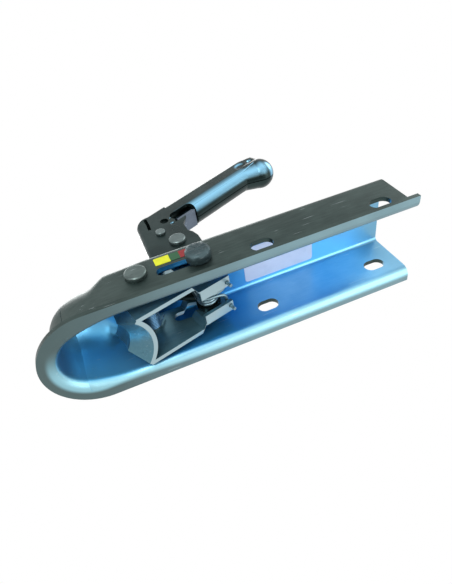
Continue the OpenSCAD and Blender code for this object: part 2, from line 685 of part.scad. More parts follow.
strip_gap = 3.5;
label_t = 0.3;
module indicator_label() {
    front = -axle_closed_x + slot_spare + slot_w / 2 - 1.6;
    z = axle_z + slot_w / 2 + strip_gap;
    fields = [[12, [0.85, 0.86, 0.1]], [8, [0.02, 0.32, 0.16]], [6.5, [0.6, 0.02, 0.05]]];
    starts = [0, fields[0][0], fields[0][0] + fields[1][0]];
    for (i = [0 : 2]) color(fields[i][1])
        translate([front - starts[i] - fields[i][0], outer_half, z]) cube([fields[i][0], label_t, strip_h]);
}
label_front = -137;
module web_label() color([0.85, 0.87, 0.95])
    translate([label_front - label_l, -inner_half + web_bend_r + 2, housing_h - sheet - label_t])
        cube([label_l, label_w, label_t]);

housing();
ball_clamp();
clamp_pivot_rivet();
pivot_tube();
pivot_spacer_left();
pivot_spacer_right();
clamp_spring();
indicator_axle();
axle_washer_left();
axle_washer_right();
axle_end_ring();
handle_washer_left();
handle_washer_right();
axle_sleeve();
closing_spring();
handle();
safety_trigger();
trigger_rivet();
trigger_spacer_left();
trigger_spacer_right();
trigger_spring();
stop_rivet();
stop_sleeve();
indicator_label();
web_label();
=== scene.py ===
"""Looks of the trailer coupling head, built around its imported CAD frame."""

import json
import math

import bmesh
import bpy
from bpy.props import FloatProperty, FloatVectorProperty, IntProperty, PointerProperty
from mathutils import Matrix, Vector


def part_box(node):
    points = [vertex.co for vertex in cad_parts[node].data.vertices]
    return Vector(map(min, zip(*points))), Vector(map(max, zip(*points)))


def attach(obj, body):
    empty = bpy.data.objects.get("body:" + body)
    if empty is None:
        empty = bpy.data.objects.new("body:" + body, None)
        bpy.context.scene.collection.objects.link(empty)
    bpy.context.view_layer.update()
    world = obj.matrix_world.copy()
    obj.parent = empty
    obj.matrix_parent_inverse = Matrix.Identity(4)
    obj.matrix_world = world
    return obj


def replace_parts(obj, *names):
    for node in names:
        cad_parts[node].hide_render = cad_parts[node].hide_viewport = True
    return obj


bl_info = {
    "name": "Trailer coupling head",
    "version": (1, 0, 0),
    "blender": (4, 5, 0),
    "location": "View3D > Sidebar > Coupling",
    "description": "Finishes and detail of a pressed-steel trailer coupling head",
    "category": "Object",
}

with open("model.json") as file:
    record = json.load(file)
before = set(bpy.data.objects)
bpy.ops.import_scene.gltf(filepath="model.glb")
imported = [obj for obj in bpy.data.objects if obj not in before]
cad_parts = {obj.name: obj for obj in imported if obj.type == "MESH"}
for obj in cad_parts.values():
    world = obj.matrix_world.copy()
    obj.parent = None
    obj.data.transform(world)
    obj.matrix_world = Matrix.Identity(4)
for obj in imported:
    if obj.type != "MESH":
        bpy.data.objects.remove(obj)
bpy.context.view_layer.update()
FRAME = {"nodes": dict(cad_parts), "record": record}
NODES = FRAME["nodes"]
BODY_OF = {node: body for body, nodes in FRAME["record"]["behaviour"]["bodies"].items() for node in nodes}
MM = 0.001

# places in the part's frame, in millimetres, as in the part's source; pairs are (x, z)
PIVOT = (-47.6, 34.3)
AXLE = (-96.0, 28.5)
TRIGGER_RIVET = (-93.0, 90.0)
# the start of the grip's top edge, and how steeply it rises, in degrees
GRIP_START = (-76.0, 139.0)
GRIP_SLOPE = 24.6
# dents in the grip's left side: (along, down) of the middle, half sizes and depth
GRIP_DENTS = (((122.5, 8.8), (7.2, 4.4), 1.1),
              ((136.0, 10.2), (3.2, 3.0), 1.3),
              ((10.6, 27.0), (2.2, 2.2), 0.8))
DENT_CUTS = range(-6, 7)
# the left side's outer faces lie further out than this
LEFT_SIDE = 3.0
# the pressed line: how far down the grip it lies, where it starts and ends, its half width and depth
PRESSED_LINE = 18.5
LINE_ENDS = (14.0, 134.0)
LINE_HALF = 0.6
LINE_DEPTH = 0.4
# the grip's top edge stands a little proud, and its end droops
TOP_LIFT = 1.5
LIFT_START = -12.0
DROOP_START = 127.0
DROOP = 2.4
EDGE_DEPTH = 12.0
# the closing spring's left half, from its end in the clamp's flange to its loop on the trigger
CLOSING_HOOK = ((-112.51, 12.5, 11.52), (-111.08, 12.5, 16.84), (-109.89, 12.5, 21.28), (-110.1, 11.5, 22.2),
                (-110, 8, 21.9), (-108.8, 4, 21.5), (-106, 1.9, 21.3))
CLOSING_LOOP = ((-88.5, 8, 32.5), (-83.6, 7.4, 82.5), (-83.2, 6.6, 87), (-83.1, 4.4, 89.8))
# the indicator head: where it starts, and its half section as (radius, height)
HEAD_FACE = 35.85
HEAD_SECTION = ((0, 0), (9.9, 0), (10.0, 0.8), (10.0, 5.6), (9.2, 7.2), (7.4, 8.1), (4.0, 8.35), (0, 8.4))


def srgb(r, g, b):
    """Colour given as seen on a screen, 0 to 255, as the linear values that Blender works with."""
    def linear(c):
        c /= 255
        return c / 12.92 if c <= 0.04045 else ((c + 0.055) / 1.055) ** 2.4
    return (linear(r), linear(g), linear(b))


# Shader graphs


class Graph:
    """A small helper that adds nodes to a material or a node group and links them."""

    def __init__(self, tree):
        self.tree = tree

    def add(self, kind, values=None, **settings):
        node = self.tree.nodes.new(kind)
        for name, value in settings.items():
            setattr(node, name, value)
        for key, value in (values or {}).items():
            self.put(node.inputs[key], value)
        return node

    def put(self, socket, value):
        if isinstance(value, bpy.types.NodeSocket):
            self.tree.links.new(value, socket)
        elif isinstance(value, tuple) and len(value) == 3 and socket.type == "RGBA":
            socket.default_value = (*value, 1)
        else:
            socket.default_value = value

    def math(self, operation, a, b=0.0, clamp=False):
        return self.add("ShaderNodeMath", {0: a, 1: b}, operation=operation, use_clamp=clamp).outputs[0]

    def vector(self, operation, a, b=(0, 0, 0), out="Vector"):
        return self.add("ShaderNodeVectorMath", {0: a, 1: b}, operation=operation).outputs[out]

    def mix(self, factor, a, b):
        node = self.add("ShaderNodeMix", data_type="RGBA")
        for index, value in ((0, factor), (6, a), (7, b)):
            self.put(node.inputs[index], value)
        return node.outputs[2]

    def ramp(self, value, low, high, start=0.0, end=1.0):
        """value from low to high becomes start to end, with soft ends."""
        return self.add("ShaderNodeMapRange", {"Value": value, "From Min": low, "From Max": high,
                                               "To Min": start, "To Max": end},
                        interpolation_type="SMOOTHSTEP").outputs[0]

    def noise(self, coords, scale, detail=3.0):
        values = {"Vector": coords, "Scale": scale, "Detail": detail}
        return self.add("ShaderNodeTexNoise", values).outputs["Fac"]


def start_group(name, inputs, outputs):
    """An empty node group with named sockets; returns its graph and the sockets inside it."""
    tree = bpy.data.node_groups.new(name, "ShaderNodeTree")
    for label, kind, default in inputs:
        socket = tree.interface.new_socket(name=label, in_out="INPUT", socket_type=kind)
        socket.default_value = (*default, 1) if kind == "NodeSocketColor" else default
    for label, kind in outputs:
        tree.interface.new_socket(name=label, in_out="OUTPUT", socket_type=kind)
    graph = Graph(tree)
    return graph, graph.add("NodeGroupInput").outputs, graph.add("NodeGroupOutput").inputs


def make_mottle_group():
    """Zinc plating: cloudy patches, fine rolling streaks and a light grain."""
    g, given, out = start_group(
        "zinc_mottle",
        [("Pale", "NodeSocketColor", (0.5, 0.5, 0.5)), ("Deep", "NodeSocketColor", (0.2, 0.2, 0.2)),
         ("Cloud", "NodeSocketFloat", 0.3), ("Streak", "NodeSocketFloat", 0.5),
         ("Roughness", "NodeSocketFloat", 0.35)],
        [("Color", "NodeSocketColor"), ("Roughness", "NodeSocketFloat"), ("Height", "NodeSocketFloat")])
    place = g.add("ShaderNodeTexCoord").outputs["Object"]
    along = g.add("ShaderNodeMapping", {"Vector": place, "Scale": (0.12, 1.0, 1.0)}).outputs[0]
    clouds = g.noise(place, 38.0, 4.0)
    streaks = g.noise(along, 620.0, 3.0)
    grain = g.noise(place, 2600.0, 2.0)
    patches = g.math("MULTIPLY", g.math("SUBTRACT", g.ramp(clouds, 0.34, 0.66), 0.5), given["Cloud"])
    lines = g.math("MULTIPLY", g.math("SUBTRACT", streaks, 0.5), given["Streak"])
    uneven = g.math("ADD", 0.5, g.math("ADD", patches, lines), clamp=True)
    g.put(out["Color"], g.mix(uneven, given["Deep"], given["Pale"]))
    g.put(out["Roughness"], g.math("ADD", given["Roughness"],
                                   g.math("MULTIPLY", g.math("SUBTRACT", clouds, 0.5), 0.15), clamp=True))
    g.put(out["Height"], g.math("ADD", g.math("MULTIPLY", streaks, 0.4), g.math("MULTIPLY", grain, 0.6)))
    return g.tree


def make_wear_group():
    """Fine bright scratches with a few dark rubbed spots."""
    g, given, out = start_group(
        "rub_marks", [("Amount", "NodeSocketFloat", 0.3)],
        [("Scratch", "NodeSocketFloat"), ("Stain", "NodeSocketFloat")])
    place = g.add("ShaderNodeTexCoord").outputs["Object"]
    fine = g.add("ShaderNodeMapping", {"Vector": place, "Rotation": (0.2, 0.5, 0.3),
                                       "Scale": (0.05, 1.0, 1.0)}).outputs[0]
    lines = g.ramp(g.noise(fine, 900.0, 1.0), 0.66, 0.74)
    patches = g.ramp(g.noise(place, 60.0, 2.0), 0.52, 0.66)
    g.put(out["Scratch"], g.math("MULTIPLY", g.math("MULTIPLY", lines, patches), given["Amount"]))
    g.put(out["Stain"], g.math("MULTIPLY", g.ramp(g.noise(place, 95.0, 5.0), 0.6, 0.72), given["Amount"]))
    return g.tree


GROUPS = {}
# how strongly the plating's patches show, and the height of its finest relief in millimetres
CLOUD = 0.35
RELIEF = 0.6
SCRATCH_TONE = srgb(215, 225, 228)


def use_group(graph, name, **values):
    makers = {"zinc_mottle": make_mottle_group, "rub_marks": make_wear_group}
    if name not in GROUPS:
        GROUPS[name] = makers[name]()
    node = graph.add("ShaderNodeGroup")
    node.node_tree = GROUPS[name]
    for key, value in values.items():
        graph.put(node.inputs[key], value)
    return node.outputs


def start_material(name, metallic, roughness, coat=0.0):
    """An empty material with its Principled BSDF."""
    material = bpy.data.materials.new(name)
    material.use_nodes = True
    material.node_tree.nodes.clear()
    graph = Graph(material.node_tree)
    shader = graph.add("ShaderNodeBsdfPrincipled", {"Metallic": metallic, "Roughness": roughness,
                                                    "Coat Weight": coat, "Coat Roughness": 0.2})
    graph.add("ShaderNodeOutputMaterial", {"Surface": shader.outputs[0]})
    return material, graph, shader


def finish_zinc(graph, shader, pale, deep, streak=0.5, roughness=0.35, wear=0.3, bump=0.06):
    """Plated steel on a shader: colour, roughness and fine relief."""
    plate = use_group(graph, "zinc_mottle", Pale=pale, Deep=deep, Cloud=CLOUD, Streak=streak,
                      Roughness=roughness)
    marks = use_group(graph, "rub_marks", Amount=wear)
    colour = graph.mix(marks["Scratch"], plate["Color"], SCRATCH_TONE)
    colour = graph.mix(graph.math("MULTIPLY", marks["Stain"], 0.6), colour, srgb(38, 42, 44))
    graph.put(shader.inputs["Base Color"], colour)
    graph.put(shader.inputs["Roughness"], plate["Roughness"])
    relief = graph.add("ShaderNodeBump", {"Height": plate["Height"], "Strength": bump,
                                          "Distance": RELIEF * MM})
    graph.put(shader.inputs["Normal"], relief.outputs[0])
    return plate


def plated_material(name, pale, deep, **finish):
    material, graph, shader = start_material(name, 0.85, 0.35)
    finish_zinc(graph, shader, pale, deep, **finish)
    return material


def housing_material(look):
    """Grey-green plating outside, bright blue passivated plating inside, darker in the dome; the lips and the
    web's rear part carry painted reflections, the lips' folds a painted highlight, and the channel behind the
    clamp painted shade.
    """
    material, g, shader = start_material("housing_plating", 0.8, 0.32)
    place = g.add("ShaderNodeTexCoord").outputs["Object"]
    x, y, z = g.add("ShaderNodeSeparateXYZ", {0: place}).outputs
    normal = g.add("ShaderNodeNewGeometry").outputs["Normal"]
    # inside faces look towards a line through the middle of the channel
    middle = g.add("ShaderNodeCombineXYZ", {"X": g.math("MINIMUM", x, 0.0), "Y": 0.0, "Z": 0.028}).outputs[0]
    facing = g.vector("DOT_PRODUCT", normal, g.vector("SUBTRACT", place, middle), out="Value")
    inside = g.ramp(facing, 0.002, -0.004)
    nz = g.add("ShaderNodeSeparateXYZ", {0: normal}).outputs[2]
    # the upper side of the lips faces the channel's middle too, but is an outside face
    lip_top = g.math("MULTIPLY", g.ramp(nz, 0.1, 0.5), g.ramp(z, 0.012, 0.007))
    inside = g.math("MULTIPLY", inside, g.math("SUBTRACT", 1.0, lip_top))
    web = g.ramp(nz, -0.5, -0.85)
    web = g.math("MULTIPLY", web, g.ramp(z, 0.044, 0.048))
    lip = g.math("MULTIPLY", g.ramp(nz, -0.6, -0.95), g.ramp(z, 0.004, 0.002))
    deep_in = use_group(g, "zinc_mottle", Pale=tuple(look.inside_pale), Deep=tuple(look.inside_deep),
                        Cloud=CLOUD, Streak=0.5, Roughness=0.3)
    out_side = use_group(g, "zinc_mottle", Pale=tuple(look.outside_pale), Deep=tuple(look.outside_deep),
                         Cloud=CLOUD, Streak=0.7, Roughness=0.42)
    # painted reflection: the lips' undersides get a paler tone than the outer walls, palest towards the rear
    lip_reflection_tone = g.mix(g.ramp(x, -0.16, 0.03), srgb(128, 158, 166), srgb(86, 104, 104))
    lip_face = use_group(g, "zinc_mottle", Pale=lip_reflection_tone, Deep=g.mix(0.25, lip_reflection_tone, srgb(60, 80, 84)),
                         Cloud=0.4, Streak=0.5, Roughness=0.36)
    # painted shade: darker behind the clamp; greyer in the dome and at the open end
    bright = g.mix(g.ramp(x, -0.17, -0.1), deep_in["Color"], srgb(58, 142, 196))
    # painted reflection: the web's downward-facing rear part is painted a paler blue
    bright = g.mix(g.math("MULTIPLY", web, g.ramp(x, -0.12, -0.17)), bright, srgb(128, 198, 238))
    bright = g.mix(g.ramp(x, -0.06, -0.01), bright, srgb(104, 158, 190))
    right_cheek = g.math("MULTIPLY", g.ramp(x, -0.05, 0.0), g.ramp(y, -0.004, -0.024))
    bright = g.mix(right_cheek, bright, srgb(104, 198, 245))
    bright = g.mix(g.math("MULTIPLY", g.ramp(x, -0.235, -0.268), 0.5), bright, srgb(96, 128, 140))
    colour = g.mix(inside, out_side["Color"], bright)
    # painted reflection laid on the lips' undersides, over the plating's own patches
    colour = g.mix(lip, colour, lip_face["Color"])
    # a painted highlight: a pale band along the fold on the lips' inner half, on the right and round the nose
    from_middle = g.add("ShaderNodeCombineXYZ", {"X": g.math("MAXIMUM", x, 0.0), "Y": y}).outputs[0]
    reach = g.vector("LENGTH", from_middle, out="Value")
    past_edge = g.math("SUBTRACT", reach, g.ramp(x, -0.1, 0.0, 0.0352, 0.0312))
    painted_fold_highlight = g.math("MULTIPLY", g.ramp(past_edge, 0.0046, 0.0006), g.ramp(y, 0.024, -0.006))
    painted_fold_highlight = g.math("MULTIPLY", painted_fold_highlight, g.math("MULTIPLY", g.ramp(z, 0.009, 0.004), g.ramp(nz, -0.3, -0.6)))
    colour = g.mix(g.math("MULTIPLY", painted_fold_highlight, 0.75), colour, srgb(158, 212, 226))
    marks = use_group(g, "rub_marks", Amount=0.35)
    colour = g.mix(marks["Scratch"], colour, srgb(215, 228, 232))
    g.put(shader.inputs["Base Color"], colour)
    g.put(shader.inputs["Roughness"], g.math("ADD", out_side["Roughness"], g.math("MULTIPLY", inside, -0.1)))
    relief = g.add("ShaderNodeBump", {"Height": out_side["Height"], "Strength": 0.05,
                                      "Distance": RELIEF * MM})
    g.put(shader.inputs["Normal"], relief.outputs[0])
    return material


def clamp_material():
    """Teal plating, with a painted highlight: faces turned down, the flange undersides and some sheet edges
    among them, are painted pale.
    """
    material, g, shader = start_material("clamp_plating", 0.65, 0.33)
    finish_zinc(g, shader, srgb(104, 144, 156), srgb(56, 100, 116), streak=0.5, roughness=0.3, wear=0.5)
    normal = g.add("ShaderNodeTexCoord").outputs["Normal"]
    # painted highlight: faces turned down are painted pale
    under = g.vector("DOT_PRODUCT", normal, (-0.2588, 0.0, -0.9659), out="Value")
    plated = shader.inputs["Base Color"].links[0].from_socket
    g.put(shader.inputs["Base Color"], g.mix(g.ramp(under, 0.8, 0.95), plated, srgb(158, 182, 188)))
    return material


def grip_point(along, down):
    """A point on the handle's side, from the start of the grip's top edge, in metres."""
    slope = math.radians(GRIP_SLOPE)
    return (MM * (GRIP_START[0] - along * math.cos(slope) - down * math.sin(slope)), 0.0,
            MM * (GRIP_START[1] + along * math.sin(slope) - down * math.cos(slope)))


def on_grip(place):
    """How far along and down the grip a point lies, in millimetres; the reverse of grip_point."""
    slope = math.radians(GRIP_SLOPE)
    x, z = place[0] / MM - GRIP_START[0], place[2] / MM - GRIP_START[1]
    return z * math.sin(slope) - x * math.cos(slope), -x * math.sin(slope) - z * math.cos(slope)


def cut_across(bm, down, offsets, chosen):
    """Cuts the chosen faces in parallel lines, across the grip or down it."""
    for offset in offsets:
        middle = Vector(grip_point(0, offset) if down else grip_point(offset, 0))
        normal = Vector(grip_point(0, 1) if down else grip_point(1, 0)) - Vector(grip_point(0, 0))
        faces = [f for f in bm.faces if chosen(f)]
        edges = list({e for f in faces for e in f.edges})
        verts = list({v for f in faces for v in f.verts})
        bmesh.ops.bisect_plane(bm, geom=faces + edges + verts, dist=0.002 * MM, plane_co=middle,
                               plane_no=normal.normalized())


def soft_step(t):
    t = min(max(t, 0.0), 1.0)
    return t * t * (3 - 2 * t)


def press_grip(bm):
    """Dents, the pressed line and the drooping end of the grip, moved out of the CAD's plain sides."""
    def outer_left(face):
        return face.normal.y > 0.3 and face.calc_center_median().y > LEFT_SIDE * MM

    def flat_left(face):
        return outer_left(face) and face.normal.y > 0.98

    for centre, reach, depth in GRIP_DENTS:
        for axis in (0, 1):
            cut_across(bm, bool(axis), [centre[axis] + reach[axis] * k / 5 for k in DENT_CUTS], flat_left)
        for vert in bm.verts:
            along, down = on_grip(vert.co)
            away = math.hypot((along - centre[0]) / reach[0], (down - centre[1]) / reach[1])
            if away < 1.05 and vert.co.y > LEFT_SIDE * MM and any(outer_left(f) for f in vert.link_faces):
                vert.co.y -= depth * MM * soft_step((1.05 - away) / 0.5)
    low, high = LINE_ENDS
    cut_across(bm, True, (PRESSED_LINE - LINE_HALF, PRESSED_LINE, PRESSED_LINE + LINE_HALF), outer_left)
    cut_across(bm, False, (low, low + 2, high - 2, high), outer_left)
    for vert in bm.verts:
        along, down = on_grip(vert.co)
        on_line = abs(down - PRESSED_LINE) < 0.05 and low < along < high
        if on_line and any(outer_left(f) for f in vert.link_faces):
            vert.co.y -= LINE_DEPTH * MM
    lines = [-10, -7, -4, -1, *(DROOP_START + 1.5 * k for k in range(12))]
    cut_across(bm, False, lines, lambda f: True)
    down_grip = Vector(grip_point(0, 1)) - Vector(grip_point(0, 0))
    for vert in bm.verts:
        along, down = on_grip(vert.co)
        if along > LIFT_START and down < EDGE_DEPTH:
            lift = soft_step((along - LIFT_START) / 10) * soft_step((DROOP_START + 9 - along) / 10)
            droop = (max(along - DROOP_START, 0.0) / 14) ** 2
            share = soft_step((EDGE_DEPTH - down) / EDGE_DEPTH)
            vert.co += down_grip * (DROOP * droop - TOP_LIFT * lift) * share


def handle_material(look):
    """Dark plating on the handle's sides, with a painted highlight: a pale teal sheen along its round belly
    and a glint on its ball end.
    """
    material, g, shader = start_material("handle_plating", 0.85, 0.33)
    place = g.add("ShaderNodeTexCoord").outputs["Object"]
    slope = math.radians(GRIP_SLOPE)
    shift = g.vector("SUBTRACT", place, grip_point(0, 0))
    turned = g.add("ShaderNodeVectorRotate", {"Vector": shift, "Rotation": (0, -slope, 0)},
                   rotation_type="EULER_XYZ").outputs[0]
    along = g.add("ShaderNodeSeparateXYZ", {0: turned}).outputs[0]
    plate = finish_zinc(g, shader, tuple(look.handle_pale), tuple(look.handle_deep), streak=0.4,
                        roughness=0.3, wear=0.25)
    normal = g.add("ShaderNodeTexCoord").outputs["Normal"]
    to_left = g.add("ShaderNodeSeparateXYZ", {0: normal}).outputs[1]
    under = g.vector("DOT_PRODUCT", normal, (-math.sin(slope), 0.0, -math.cos(slope)), out="Value")
    # painted highlight: the belly's faces turned down and to the left are painted a pale teal sheen
    belly = g.math("MULTIPLY", g.ramp(under, 0.0, 0.55), g.ramp(to_left, 0.3, 0.85))
    belly = g.math("MULTIPLY", belly, g.ramp(along, -0.004, -0.02))
    belly = g.math("MULTIPLY", belly, g.ramp(along, -0.141, -0.135))
    # painted highlight: a pale glint on the ball end's faces turned one way
    painted_ball_glint = g.ramp(g.vector("DOT_PRODUCT", normal, (-0.31, 0.511, -0.8), out="Value"), 0.7, 0.92)
    painted_ball_glint = g.math("MULTIPLY", painted_ball_glint, g.ramp(along, -0.138, -0.143))
    sheen = g.math("MAXIMUM", belly, painted_ball_glint)
    g.put(shader.inputs["Base Color"], g.mix(sheen, plate["Color"], tuple(look.handle_painted_sheen)))
    return material


def film_material():
    """Printed film in plain yellow, green and red fields beside the indicator slot."""
    material, g, shader = start_material("strip_film", 0.0, 0.45)
    place = g.add("ShaderNodeTexCoord").outputs["Object"]
    x, y, z = g.add("ShaderNodeSeparateXYZ", {0: place}).outputs
    colour = g.mix(g.ramp(x, -0.07595, -0.07605), srgb(216, 220, 14), srgb(0, 80, 40))
    colour = g.mix(g.ramp(x, -0.08395, -0.08405), colour, srgb(138, 0, 10))
    dirt = g.ramp(g.noise(place, 260.0, 4.0), 0.45, 0.75)
    g.put(shader.inputs["Base Color"], g.mix(g.math("MULTIPLY", dirt, 0.18), colour, srgb(60, 60, 50)))
    g.put(shader.inputs["Roughness"], g.math("ADD", g.math("MULTIPLY", dirt, 0.2), 0.3))
    return material


def paper_material():
    """Bare white label with a faint sheen and handling marks."""
    material, g, shader = start_material("plain_label", 0.0, 0.4, coat=0.3)
    place = g.add("ShaderNodeTexCoord").outputs["Object"]
    marks = g.ramp(g.noise(place, 90.0, 5.0), 0.45, 0.8)
    g.put(shader.inputs["Base Color"], g.mix(g.math("MULTIPLY", marks, 0.3), srgb(214, 222, 244),
                                             srgb(176, 188, 216)))
    g.put(shader.inputs["Roughness"], g.math("ADD", g.math("MULTIPLY", marks, 0.2), 0.32))
    return material


# Pieces


def add_piece(name, bm, body, material):
    """Turns a bmesh into a piece that rides on a CAD body."""
    mesh = bpy.data.meshes.new(name)
    bm.to_mesh(mesh)
    bm.free()
    piece = bpy.data.objects.new(name, mesh)
    bpy.context.collection.objects.link(piece)
    mesh.materials.append(material)
    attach(piece, body)
    return piece


def sharp_by_angle(bm, degrees):
    """Smooth faces, with every edge sharper than the angle kept hard."""
    for face in bm.faces:
        face.smooth = True
    for edge in bm.edges:
        edge.smooth = len(edge.link_faces) == 2 and edge.calc_face_angle(0.0) < math.radians(degrees)


def dress_node(node, name, material, bevel=0.0, sharp=28.0, shape=None):
    """A merged, smoothly shaded copy of a CAD node, with small rounded edges, in the node's place."""
    bm = bmesh.new()
    bm.from_mesh(NODES[node].data)
    bmesh.ops.remove_doubles(bm, verts=bm.verts, dist=0.004 * MM)
    bmesh.ops.dissolve_degenerate(bm, edges=bm.edges, dist=0.002 * MM)
    if bevel:
        bmesh.ops.dissolve_limit(bm, angle_limit=math.radians(0.3), verts=bm.verts, edges=bm.edges)
    if shape:
        shape(bm)
    sharp_by_angle(bm, sharp)
    piece = add_piece(name, bm, BODY_OF[node], material)
    if bevel:
        rounding = piece.modifiers.new("rounded_edges", "BEVEL")
        rounding.width = bevel * MM
        rounding.segments = 2
        rounding.limit_method = "ANGLE"
        rounding.angle_limit = math.radians(40)
        rounding.harden_normals = False
    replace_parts(piece, node)
    return piece


def add_wire(name, points, diameter, node, material):
    """A round wire through points in millimetres, as a smooth curve with closed ends."""
    curve = bpy.data.curves.new(name, "CURVE")
    curve.dimensions = "3D"
    curve.bevel_depth = diameter / 2 * MM
    curve.bevel_resolution = 4
    curve.resolution_u = 2
    curve.use_fill_caps = True
    spline = curve.splines.new("NURBS")
    spline.points.add(len(points) - 1)
    for point, place in zip(spline.points, points):
        point.co = (place[0] * MM, place[1] * MM, place[2] * MM, 1)
    spline.order_u = 3
    spline.use_endpoint_u = True
    piece = bpy.data.objects.new(name, curve)
    bpy.context.collection.objects.link(piece)
    curve.materials.append(material)
    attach(piece, BODY_OF[node])
    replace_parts(piece, node)
    return piece


def coil(centre, radius, start_y, pitch, turns, start_deg):
    """Points of a coil round an axis along Y."""
    steps = look().coil_steps
    points = []
    for i in range(int(turns * steps) + 1):
        angle = math.radians(start_deg + 360 * i / steps)
        points.append((centre[0] + radius * math.cos(angle), start_y + pitch * i / steps,
                       centre[1] + radius * math.sin(angle)))
    return points


def run_out(points, length):
    """The straight leg that leaves a coil's first point."""
    first, second = Vector(points[0]), Vector(points[1])
    return tuple(first + (first - second).normalized() * length)


# Operators


class CouplingLook(bpy.types.PropertyGroup):
    """Colours and sizes of the finish."""

    inside_pale: FloatVectorProperty(
        name="Inside, pale", description="Pale tone of the blue plating inside", subtype="COLOR",
        default=srgb(140, 202, 238))
    inside_deep: FloatVectorProperty(
        name="Inside, deep", description="Deep tone of the blue plating inside", subtype="COLOR",
        default=srgb(96, 172, 220))
    outside_pale: FloatVectorProperty(
        name="Outside, pale", description="Pale tone of the plating outside", subtype="COLOR",
        default=srgb(70, 86, 83))
    outside_deep: FloatVectorProperty(
        name="Outside, deep", description="Deep tone of the plating outside", subtype="COLOR",
        default=srgb(40, 54, 52))
    handle_pale: FloatVectorProperty(
        name="Handle, pale", description="Pale tone of the handle", subtype="COLOR",
        default=srgb(52, 68, 67))
    handle_deep: FloatVectorProperty(
        name="Handle, deep", description="Deep tone of the handle", subtype="COLOR",
        default=srgb(30, 42, 42))
    # the colour of the painted highlight along the handle's belly and on its ball end
    handle_painted_sheen: FloatVectorProperty(
        name="Handle, belly", description="Pale tone of the handle's round belly", subtype="COLOR",
        default=srgb(146, 208, 240))
    edge_round: FloatProperty(
        name="Edge rounding", description="Rounding of the sheet's edges, in millimetres", default=0.45,
        min=0.1, max=1.0)
    head_rough: FloatProperty(
        name="Head roughness", description="Height of the indicator head's cast skin, in millimetres",
        default=0.22, min=0.0, max=0.6)
    coil_steps: IntProperty(
        name="Coil steps", description="Points in each turn of a spring", default=18, min=12, max=36)


def look():
    return bpy.context.scene.coupling_look


class COUPLING_OT_housing(bpy.types.Operator):
    """Finish the pressed housing"""

    bl_idname = "coupling.housing"
    bl_label = "Housing"

    def execute(self, context):
        dress_node("housing", "housing_shell", housing_material(look()), bevel=look().edge_round)
        return {"FINISHED"}


class COUPLING_OT_clamp(bpy.types.Operator):
    """Finish the clamp, its rivet, tube and spacers"""

    bl_idname = "coupling.clamp"
    bl_label = "Clamp"

    def execute(self, context):
        dress_node("ball_clamp", "clamp_jaw", clamp_material(), bevel=0.35)
        rivet = plated_material("rivet_steel", srgb(112, 126, 124), srgb(74, 88, 86), roughness=0.4, wear=0.6,
                                bump=0.12)
        dress_node("clamp_pivot_rivet", "pivot_rivet", rivet, bevel=0.4)
        tube = plated_material("tube_plating", srgb(150, 170, 176), srgb(84, 104, 112), roughness=0.3)
        for node in ("pivot_tube", "pivot_spacer_left", "pivot_spacer_right"):
            dress_node(node, node + "_finish", tube)
        return {"FINISHED"}


class COUPLING_OT_springs(bpy.types.Operator):
    """Wind the clamp spring, the closing spring and the trigger spring"""

    bl_idname = "coupling.springs"
    bl_label = "Springs"

    def execute(self, context):
        fine = plated_material("fine_spring", srgb(120, 168, 205), srgb(52, 84, 110), roughness=0.3, wear=0.1)
        thick = plated_material("thick_spring", srgb(150, 176, 184), srgb(100, 128, 138), roughness=0.34)
        body = coil(PIVOT, 7.0, -18.0, 1.6, 10, 200)
        add_wire("clamp_coil", [run_out(body, 9), *body, run_out(body[::-1], 9)], 1.4, "clamp_spring", fine)
        half = [*CLOSING_HOOK, *coil(AXLE, 7.2, 1.45, 2.9, 2.25, -90), *CLOSING_LOOP]
        mirrored = [(x, -y, z) for x, y, z in half[::-1]]
        add_wire("closing_coil", [*half, *mirrored], 2.8, "closing_spring", thick)
        body = coil(TRIGGER_RIVET, 5.9, 4.9, 1.35, 3, 200)
        add_wire("trigger_coil", [run_out(body, 8), *body, run_out(body[::-1], 8)], 1.2, "trigger_spring",
                 fine)
        return {"FINISHED"}


